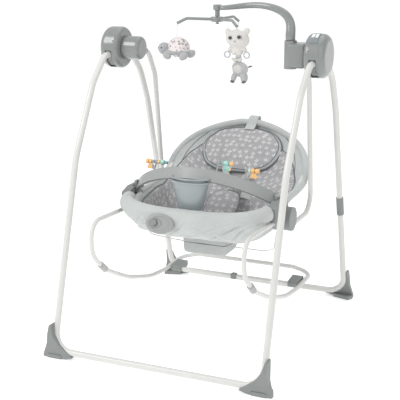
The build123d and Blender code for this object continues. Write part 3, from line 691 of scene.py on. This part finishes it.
loop_points = [on_back(6, 100, 14), on_back(8, 122, 12), on_back(10, 144, 16), on_back(11, 162, 11),
               on_back(11, 165, -2), on_back(10, 154, -15), on_back(9, 132, -24)]
centres = [at(*smooth(loop_points, k / 30)) for k in range(31)]
band("pillow_loop", centres, [Vector((1, 0, 0))] * 31, 0.036, 0.0022, seat_cloth, "backrest")

# ---- harness -------------------------------------------------------------------------
# Pale grey webbing: a crotch strap, two waist straps and two shoulder straps
# meet at a dark grey buckle in the lap, which has a black release button.
webbing_pale = weave(shader("webbing_pale", (0.50, 0.51, 0.49), 0.75, Sheen_Weight=0.15), 0.0014, 0.5, 0.08)
buckle_grey = uneven(shader("buckle_grey", (0.16, 0.17, 0.175), 0.4), 1.4, 0.4, 50, 0.3, 1500, 0.32, 0.5)
release_black = uneven(shader("release_black", (0.05, 0.055, 0.06), 0.5), 1.5, 0.5, 30, 0.3, 900, 0.42, 0.6)
BUCKLE = (22, 112, 416)


def webbing(name, points, width, body, across=(1, 0, 0), count=36):
    line = [at(*smooth(points, k / count)) for k in range(count + 1)]
    sides = []
    for k in range(count + 1):
        way = (line[min(k + 1, count)] - line[max(k - 1, 0)]).normalized()
        side = Vector(across) - way * Vector(across).dot(way)
        sides.append(side.normalized())
    return band(name, line, sides, width, 0.0016, webbing_pale, body)


webbing("crotch_strap", [(16, -6, 322), (18, 22, 340), (20, 52, 366), (22, 84, 396), BUCKLE], 0.024,
        WITH_SHELL)
for side, name in ((-1, "waist_strap_left"), (1, "waist_strap_right")):
    points = [(22 + side * 14, 114, 417), (22 + side * 46, 118, 414), (22 + side * 84, 124, 404),
              (22 + side * 118, 132, 400), (22 + side * 132, 138, 404)]
    webbing(name, points, 0.019, WITH_SHELL, (0, 0.66, 0.75))
for side, name in ((-1, "shoulder_strap_left"), (1, "shoulder_strap_right")):
    points = [(22 + side * 9, 118, 421), on_back(20 + side * 26, -112, 26), on_back(10 + side * 44, -72, 12),
              on_back(4 + side * 48, -34, 2), on_back(2 + side * 48, -10, -8)]
    webbing(name, points, 0.019, WITH_SHELL)


def rounded_block(name, centre, size, turn, bevel, material):
    """A moulded block with rounded edges."""
    shape = bmesh.new()
    bmesh.ops.create_cube(shape, size=1)
    bmesh.ops.scale(shape, vec=size, verts=shape.verts)
    bmesh.ops.bevel(shape, geom=shape.edges[:] + shape.verts[:], offset=bevel, segments=3, affect="EDGES",
                    profile=0.6)
    bmesh.ops.transform(shape, matrix=Matrix.Translation(centre) @ turn, verts=shape.verts)
    piece = from_shape(name, shape)
    for face in piece.data.polygons:
        face.use_smooth = True
    piece.data.materials.append(material)
    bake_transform(piece)
    return piece


lap_turn = Matrix.Rotation(math.radians(38), 4, "X")
buckle = rounded_block("buckle_body", at(22, 112, 419), (0.036, 0.030, 0.011), lap_turn, 0.0035,
                       buckle_grey)
rounded_block("buckle_release", at(22, 108, 424), (0.017, 0.013, 0.005), lap_turn, 0.0018,
              release_black)
for side, name in ((-1, "buckle_prong_left"), (1, "buckle_prong_right")):
    rounded_block(name, at(22 + side * 21, 114, 418), (0.012, 0.022, 0.007), lap_turn, 0.002,
                  buckle_grey)
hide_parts("harness")

# A printed pad lies over the crotch strap and hides the buckle from the front.
PAD_LINE = [(10, -22, 330), (11, 6, 350), (13, 36, 378), (15, 64, 404), (16, 88, 427)]
PAD_HALF, PAD_GAP, PAD_RISE, PAD_LEAN = 55, 8, 13, (-0.64, 0.77)
PAD_TURN, PAD_RINGS = 96, 16


def lap_pad(a, r):
    """Point at turn a and share r of the way out to the pad's edge."""
    c, k = math.cos(a), math.sin(a)
    x, y, z = smooth(PAD_LINE, HALF + HALF * r * math.copysign(abs(k) ** 0.7, k))
    lift = PAD_GAP + PAD_RISE * max(0.0, 1 - r ** 3.2) ** 0.5
    x += PAD_HALF * r * math.copysign(abs(c) ** 0.7, c)
    return at(x, y + PAD_LEAN[0] * lift, z + PAD_LEAN[1] * lift)


rows = [[lap_pad(math.tau * j / PAD_TURN, k / PAD_RINGS) for j in range(PAD_TURN)]
        for k in range(PAD_RINGS + 1)]
pad = thicken(grid("lap_pad", rows, wrap=True), 0.0015)
# The pad's print is the same cotton as the liner's, painted darker: painted shade for the shadow the pad lies
# in.
pad_print_painted_shade = sprig_print("pad_print_painted_shade", (0.36, 0.355, 0.365), (0.66, 0.66, 0.675), "Object")
pad.data.materials.append(pad_print_painted_shade)
welt_line = [lap_pad(math.tau * (j % PAD_TURN) / PAD_TURN, 1) for j in range(PAD_TURN + 1)]
pad_welt = hose("lap_pad_piping", welt_line, 0.0032, 8)
pad_welt.data.materials.append(piping_dark)
for piece in (pad, pad_welt):
    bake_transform(piece)

# ---- pouch under the seat ------------------------------------------------------------
# A pouch of grey mesh under the pan holds the battery box of the vibration unit.
# Its sides sag a little, and a folded tape is sewn round it near the top.
pouch_cloth = weave(shader("pouch_cloth", (0.57, 0.595, 0.585), 0.85, Sheen_Weight=0.2), 0.0016, 0.6, 0.14)
POUCH = (5, -34)
POUCH_RINGS = [(72, 56, 314), (72, 56, 298), (72, 56, 284), (71, 55, 274), (69, 53, 268), (62, 46, 265.5),
               (32, 24, 265), (2, 2, 265)]
POUCH_TURN, POUCH_DOWN = 88, 26


def pouch(d, a):
    half_x, half_y, z = smooth(POUCH_RINGS, d)
    c, s = math.cos(a), math.sin(a)
    x = math.copysign(abs(c) ** 0.16, c) * half_x
    y = math.copysign(abs(s) ** 0.16, s) * half_y
    z += max(0.0, -POUCH[1] - y - 20) * 0.6 * max(0.0, 1 - d * 4)
    sag = 1.8 * noise.noise(Vector((x / 30, y / 30, z / 16)))
    return at(POUCH[0] + x * (1 + sag / 90), POUCH[1] + y * (1 + sag / 60), z + sag * 0.6)


rows = [[pouch(k / POUCH_DOWN, math.tau * j / POUCH_TURN) for j in range(POUCH_TURN)]
        for k in range(POUCH_DOWN + 1)]
under_pouch = grid("under_pouch", rows, wrap=True)
thicken(under_pouch, 0.002)
under_pouch.data.materials.append(pouch_cloth)
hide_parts("under_pocket")
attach(under_pouch, "seat")
tape_line = [pouch(0.2, math.tau * (j % POUCH_TURN) / POUCH_TURN) for j in range(POUCH_TURN + 1)]
tape = hose("pouch_tape", tape_line, 0.0026, 8)
tape.data.materials.append(piping_dark)
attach(tape, "seat")

# ---- vibration unit ------------------------------------------------------------------
# The oval case on the apron is moulded in the tray's grey. A raised rim runs
# round its face, and another round its key.
dress("vibration_unit", tray_grey)
UNIT = (-64, -263, 404)
UNIT_HALF, UNIT_FACE, KEY_SHIFT = (45, 31), -9.6, -13
unit_turn = Matrix.Rotation(math.radians(-22), 3, "X") @ Matrix.Rotation(math.radians(6), 3, "Z")
for name, share, radius in (("unit_rim", 0.68, 0.0013), ("key_rim", 0.44, 0.0014)):
    shift = 0 if name == "unit_rim" else KEY_SHIFT
    oval = []
    for k in range(65):
        local = Vector((shift + UNIT_HALF[0] * share * math.cos(math.tau * k / 64), UNIT_FACE,
                        UNIT_HALF[1] * share * math.sin(math.tau * k / 64)))
        oval.append(at(*(Vector(UNIT) + unit_turn @ local)))
    rim = hose(name, oval, radius, 8)
    rim.data.materials.append(tray_grey if name == "unit_rim" else gloss_grey)
    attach(rim, "seat")

# ---- stitching -----------------------------------------------------------------------
# Rows of lockstitch: pale along both sides of the seat's edge and the apron's
# hem, dark round the pillow and down the apron's seam. One tree of nodes lays
# single stitches along any line.
thread_pale = uneven(shader("thread_pale", (0.72, 0.73, 0.73), 0.7), 0.9, 0.5, 80, 0.2, 2000, 0.6, 0.8)
thread_dark = uneven(shader("thread_dark", (0.24, 0.25, 0.26), 0.7), 0.9, 0.5, 80, 0.2, 2000, 0.6, 0.8)


def stitch_tree():
    tree = bpy.data.node_groups.new("stitch_row", "GeometryNodeTree")
    tree.interface.new_socket("Geometry", in_out="INPUT", socket_type="NodeSocketGeometry")
    for label, kind in (("Spacing", "NodeSocketFloat"), ("Length", "NodeSocketFloat"),
                        ("Radius", "NodeSocketFloat"), ("Thread", "NodeSocketMaterial")):
        tree.interface.new_socket(label, in_out="INPUT", socket_type=kind)
    tree.interface.new_socket("Geometry", in_out="OUTPUT", socket_type="NodeSocketGeometry")
    add = tree.nodes.new
    given, result = add("NodeGroupInput"), add("NodeGroupOutput")
    curve = add("GeometryNodeMeshToCurve")
    spread = add("GeometryNodeResampleCurve")
    spread.mode = "LENGTH"
    align = add("FunctionNodeAlignRotationToVector")
    align.axis = "Z"
    stitch = add("GeometryNodeMeshCylinder")
    stitch.inputs["Vertices"].default_value = 5
    place = add("GeometryNodeInstanceOnPoints")
    real = add("GeometryNodeRealizeInstances")
    colour = add("GeometryNodeSetMaterial")
    points = add("GeometryNodeCurveToPoints")
    points.mode = "EVALUATED"
    join = tree.links.new
    join(given.outputs["Geometry"], curve.inputs[0])
    join(curve.outputs[0], spread.inputs["Curve"])
    join(given.outputs["Spacing"], spread.inputs["Length"])
    join(spread.outputs[0], points.inputs["Curve"])
    join(points.outputs["Points"], place.inputs["Points"])
    join(points.outputs["Tangent"], align.inputs["Vector"])
    join(align.outputs[0], place.inputs["Rotation"])
    join(given.outputs["Length"], stitch.inputs["Depth"])
    join(given.outputs["Radius"], stitch.inputs["Radius"])
    join(stitch.outputs["Mesh"], place.inputs["Instance"])
    join(place.outputs[0], real.inputs[0])
    join(real.outputs[0], colour.inputs["Geometry"])
    join(given.outputs["Thread"], colour.inputs["Material"])
    join(colour.outputs[0], result.inputs[0])
    return tree


STITCHES = stitch_tree()


def stitches(name, points, thread, body, spacing=0.0042, length=0.0028, radius=0.00042):
    made = bpy.data.meshes.new(name)
    made.from_pydata(points, [(k, k + 1) for k in range(len(points) - 1)], [])
    row = bpy.data.objects.new(name, made)
    bpy.context.collection.objects.link(row)
    layer = row.modifiers.new("stitches", "NODES")
    layer.node_group = STITCHES
    values = {"Spacing": spacing, "Length": length, "Radius": radius, "Thread": thread}
    for item in STITCHES.interface.items_tree:
        if item.in_out == "INPUT" and item.name in values:
            layer[item.identifier] = values[item.name]
    bake(row)
    if isinstance(body, str):
        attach(row, body)
    else:
        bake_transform(row)


EDGE_FROM, EDGE_SIDE, EDGE_LIFT = 0.28, 0.955, 0.0006
for side, name in ((-1, "edge_stitches"), (1, "edge_stitches_right")):
    line = []
    for k in range(155):
        v = EDGE_FROM + (1 - EDGE_FROM) * k / 160
        line.append(bucket(v, side * EDGE_SIDE, 1) + inward(v, side * EDGE_SIDE) * EDGE_LIFT)
    stitches(name, line, thread_pale, WITH_SHELL)
line = [pillow((k % PILLOW_TURN) / PILLOW_TURN, 0.94, True) for k in range(PILLOW_TURN + 1)]
stitches("pillow_stitches", line, thread_dark, "backrest")
stitches("apron_stitches", [apron(0.06 + 0.88 * k / 160, 0.93) + Vector((0, -0.0003, 0)) for k in range(161)],
         thread_pale, "seat")
stitches("apron_seam", [apron(0.285, 0.36 + 0.6 * k / 60) + Vector((0, -0.0002, 0)) for k in range(61)],
         thread_dark, "seat", 0.003, 0.0026, 0.0004)

# ---- toy beads -----------------------------------------------------------------------
# Each axle on the bar carries moulded beads and a flat figure, every one in one
# plain colour: orange, blue grey, sea green or pale green.
ORANGE, SEA, SLATE, PALE = (0.84, 0.50, 0.19), (0.34, 0.62, 0.57), (0.24, 0.32, 0.38), (0.55, 0.72, 0.62)


def bead_colours(name, steps):
    """Plastic whose colour changes at given places along X, in millimetres."""
    made = shader(name, ORANGE, 0.25, Coat_Weight=0.3, Coat_Roughness=0.1)
    surface = made.node_tree.nodes["Principled BSDF"]
    place = node(made, "ShaderNodeTexCoord")
    split = node(made, "ShaderNodeSeparateXYZ")
    wire(made, (place.outputs["Object"], split.inputs[0]))
    colour = None
    for edge, tint in steps:
        if colour is None:
            colour = node(made, "ShaderNodeRGB")
            colour.outputs[0].default_value = (*tint, 1)
            colour = colour.outputs[0]
            continue
        past = node(made, "ShaderNodeMath", operation="GREATER_THAN")
        past.inputs[1].default_value = edge / 1000
        mix = node(made, "ShaderNodeMix", data_type="RGBA")
        mix.inputs[7].default_value = (*tint, 1)
        wire(made, (split.outputs["X"], past.inputs[0]), (past.outputs[0], mix.inputs[0]),
             (colour, mix.inputs[6]))
        colour = mix.outputs[2]
    grain = node(made, "ShaderNodeTexNoise", Scale=300.0, Detail=2.0)
    lift = node(made, "ShaderNodeBump", Strength=0.1, Distance=0.0004)
    wire(made, (colour, surface.inputs["Base Color"]), (place.outputs["Object"], grain.inputs["Vector"]),
         (grain.outputs["Fac"], lift.inputs["Height"]), (lift.outputs[0], surface.inputs["Normal"]))
    return made


dress("toy_spinner_a", bead_colours("beads_a", [(None, ORANGE), (-177, ORANGE), (-166, SLATE)]))
dress("toy_spinner_b", bead_colours("beads_b", [(None, ORANGE), (-138, SEA), (-121, SLATE)]))
dress("toy_spinner_c", bead_colours("beads_c", [(None, SLATE), (84, SEA), (107, ORANGE)]))
dress("toy_spinner_d", bead_colours("beads_d", [(None, SLATE), (157, PALE), (166, ORANGE)]))

# ---- hanging toys --------------------------------------------------------------------
# Three small plush animals of short-pile velour, stuffed, hang under the mobile.
# Each is stuffed balls sewn together, so their joins are drawn in softly.
plush_grey = weave(shader("plush_grey", (0.44, 0.45, 0.46), 0.95, Sheen_Weight=0.6, Sheen_Roughness=0.4),
                   0.0013, 0.5, 0.1)
plush_silver = weave(shader("plush_silver", (0.58, 0.59, 0.59), 0.95, Sheen_Weight=0.6, Sheen_Roughness=0.4),
                     0.0013, 0.5, 0.1)
plush_pale = weave(shader("plush_pale", (0.74, 0.72, 0.69), 0.95, Sheen_Weight=0.6, Sheen_Roughness=0.4),
                   0.0013, 0.5, 0.08)
plush_dark = weave(shader("plush_dark", (0.16, 0.17, 0.19), 0.95, Sheen_Weight=0.4, Sheen_Roughness=0.4),
                   0.0013, 0.5, 0.15)
eye_black = uneven(shader("eye_black", (0.01, 0.01, 0.012), 0.12, Coat_Weight=1.0), 1.2, 0.3, 30, 0.02, 300)
speckled = shader("speckled_shell", (0.70, 0.62, 0.61), 0.95, Sheen_Weight=0.5, Sheen_Roughness=0.4)
surface = speckled.node_tree.nodes["Principled BSDF"]
place = node(speckled, "ShaderNodeTexCoord")
spots = node(speckled, "ShaderNodeTexVoronoi", Scale=95.0)
ramp = node(speckled, "ShaderNodeValToRGB")
ramp.color_ramp.elements[0].position = 0.30
ramp.color_ramp.elements[0].color = (0.30, 0.29, 0.31, 1)
ramp.color_ramp.elements[1].position = 0.42
ramp.color_ramp.elements[1].color = (0.72, 0.66, 0.65, 1)
pile = node(speckled, "ShaderNodeTexNoise", Scale=700.0, Detail=3.0)
lift = node(speckled, "ShaderNodeBump", Strength=0.5, Distance=0.0008)
wire(speckled, (place.outputs["Object"], spots.inputs["Vector"]), (spots.outputs["Distance"], ramp.inputs[0]),
     (ramp.outputs[0], surface.inputs["Base Color"]), (place.outputs["Object"], pile.inputs["Vector"]),
     (pile.outputs["Fac"], lift.inputs["Height"]), (lift.outputs[0], surface.inputs["Normal"]))

ROTOR_X, ROTOR_ARM, ROTOR_TURN = 12.0, 125.0, 200.0
TIP_HEIGHT = 981.4                 # where a cord leaves its arm tip, in millimetres


def arm_tip(k):
    turn = math.radians(ROTOR_TURN + 120 * k)
    return ROTOR_X + ROTOR_ARM * math.cos(turn), ROTOR_ARM * math.sin(turn)


def stuffed(name, balls, material, body, voxel=0.0016):
    """Stuffed balls sewn into one skin: each is a centre, three half sizes and a turn."""
    shape = bmesh.new()
    for centre, halves, turn in balls:
        made = bmesh.ops.create_uvsphere(shape, u_segments=32, v_segments=20, radius=1)
        move = Matrix.Translation(at(*centre)) @ Matrix.Rotation(math.radians(turn), 4, "Y")
        move = move @ Matrix.Diagonal((halves[0] / 1000, halves[1] / 1000, halves[2] / 1000, 1))
        bmesh.ops.transform(shape, matrix=move, verts=made["verts"])
    piece = from_shape(name, shape)
    skin = piece.modifiers.new("skin", "REMESH")
    skin.mode = "VOXEL"
    skin.voxel_size = voxel
    ease = piece.modifiers.new("ease", "SMOOTH")
    ease.factor = 0.5
    ease.iterations = 5
    bake(piece)
    piece.data.materials.append(material)
    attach(piece, body)
    return piece


def hang(name, node_name, x, y, top, bottom, body):
    """Short white cord from a rotor tip to its toy."""
    line = bpy.data.curves.new(name, "CURVE")
    line.dimensions = "3D"
    spline = line.splines.new("NURBS")
    drop = (top - bottom) / 5
    spline.points.add(5)
    for k, point in enumerate(spline.points):
        point.co = (*at(x + (0.25 if k in (2, 3) else 0), y, top - drop * k), 1)
    spline.order_u = 3
    spline.use_endpoint_u = True
    line.bevel_depth = 0.0008
    line.bevel_resolution = 3
    cord = bpy.data.objects.new(name, line)
    bpy.context.collection.objects.link(cord)
    line.materials.append(cord_white)
    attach(cord, body)
    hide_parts(node_name)
    return cord


cord_white = weave(shader("cord_white", (0.84, 0.84, 0.82), 0.8), 0.0006, 0.4, 0.06)

# The turtle: a speckled quilted shell on a grey body with four flippers.
x, y = arm_tip(0)
turtle_body = stuffed("turtle_body", [((x + 4, y, 900), (44, 35, 13), 0),
                                      ((x - 40, y - 8, 908), (20, 18, 19), 0),
                                      ((x - 20, y - 32, 890), (15, 9, 12), 30),
                                      ((x + 34, y - 26, 888), (16, 10, 11), -35),
                                      ((x - 20, y + 30, 890), (15, 9, 11), 30),
                                      ((x + 36, y + 26, 890), (15, 9, 11), -30),
                                      ((x + 52, y - 4, 898), (12, 8, 9), -20)], plush_grey, "turtle")
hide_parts("turtle_toy")
stuffed("turtle_shell", [((x + 6, y, 913), (35, 31, 31), 0), ((x + 6, y, 903), (40, 34, 9), 0)],
        speckled, "turtle")
stuffed("turtle_eyes", [((x - 54, y - 19, 911), (2.4, 2.4, 2.4), 0),
                        ((x - 42, y - 26, 912), (2.4, 2.4, 2.4), 0)], eye_black, "turtle", 0.0004)
hang("turtle_cord", "turtle_string", x, y, TIP_HEIGHT, 942, "turtle")

# The giraffe: a long-necked animal with small horns, a bow and a dark-tipped tail.
x, y = arm_tip(2)
giraffe_body = stuffed("giraffe_body", [((x + 8, y, 832), (26, 20, 24), 0),
                                        ((x + 1, y, 866), (10, 10, 26), 6),
                                        ((x - 4, y - 3, 897), (18, 13, 12), 14),
                                        ((x - 18, y - 6, 892), (10, 9, 7), 10),
                                        ((x - 9, y - 12, 808), (9, 9, 17), 14),
                                        ((x + 22, y - 12, 808), (9, 9, 17), -14),
                                        ((x - 8, y - 8, 848), (6, 6, 14), 38),
                                        ((x + 22, y + 8, 808), (9, 9, 17), -8)],
                       plush_silver, "giraffe")
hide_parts("giraffe_toy")
stuffed("giraffe_face", [((x - 20, y - 10, 890), (8, 6, 5.5), 10), ((x + 6, y - 18, 834), (15, 5, 15), 0)],
        plush_pale, "giraffe")
stuffed("giraffe_bow", [((x - 9, y - 12, 864), (10, 4, 6), 20), ((x + 11, y - 12, 864), (10, 4, 6), -20),
                        ((x + 1, y - 14, 864), (4, 4, 4), 0)], plush_pale, "giraffe")
stuffed("giraffe_trim", [((x - 4, y - 2, 911), (2.6, 2.6, 5), 0), ((x + 6, y - 2, 910), (2.6, 2.6, 5), 10),
                         ((x - 13, y - 15, 794), (8, 7, 5), 14), ((x + 26, y - 15, 794), (8, 7, 5), -14),
                         ((x + 40, y + 4, 842), (9, 3, 3), -18)], plush_dark, "giraffe")
stuffed("giraffe_eyes", [((x - 12, y - 15, 899), (2, 2, 2), 0), ((x + 2, y - 16, 900), (2, 2, 2), 0)],
        eye_black, "giraffe", 0.0004)
hang("giraffe_cord", "giraffe_string", x, y, TIP_HEIGHT, 908, "giraffe")

# The cat: a pale round-headed animal holding two rings, sewn close to its arm tip.
x, y = arm_tip(1)
cat_body = stuffed("cat_body", [((x + 3, y, 949), (37, 27, 27), 10), ((x - 27, y, 968), (10, 7, 12), -34),
                                ((x + 31, y, 972), (10, 7, 12), 34), ((x + 4, y, 917), (19, 16, 15), 0),
                                ((x - 16, y - 4, 921), (7, 7, 12), 50),
                                ((x + 24, y - 4, 921), (7, 7, 12), -50),
                                ((x - 5, y - 6, 908), (8, 9, 7), 10), ((x + 13, y - 6, 908), (8, 9, 7), -10)],
                   plush_pale, "cat")
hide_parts("cat_toy")
stuffed("cat_patches", [((x - 11, y - 21, 953), (7, 6, 7), 20), ((x + 18, y - 21, 956), (7, 6, 7), -20),
                        ((x + 4, y - 27, 944), (4, 3, 3), 0)], plush_grey, "cat")
stuffed("cat_eyes", [((x - 11, y - 27, 954), (5.6, 2.8, 5.6), 0),
                     ((x + 17, y - 27, 957), (5.6, 2.8, 5.6), 0)], eye_black, "cat", 0.0004)
ring_grey = uneven(shader("ring_grey", (0.46, 0.48, 0.50), 0.3, Coat_Weight=0.3), 0.9, 0.5, 30, 0.1, 900)
for side, name in ((-1, "cat_ring_left"), (1, "cat_ring_right")):
    rim = [at(x + 4 + side * 31 + 9 * math.cos(math.tau * k / 32), y - 8,
              903 + 9 * math.sin(math.tau * k / 32)) for k in range(33)]
    ring = hose(name, rim, 0.0021, 10)
    ring.data.materials.append(ring_grey)
    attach(ring, "cat")
tag = hose("cat_loop", [at(x, y, 981), at(x + 0.3, y, 977), at(x, y, 971)], 0.0016, 8)
tag.data.materials.append(cord_white)
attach(tag, "cat")
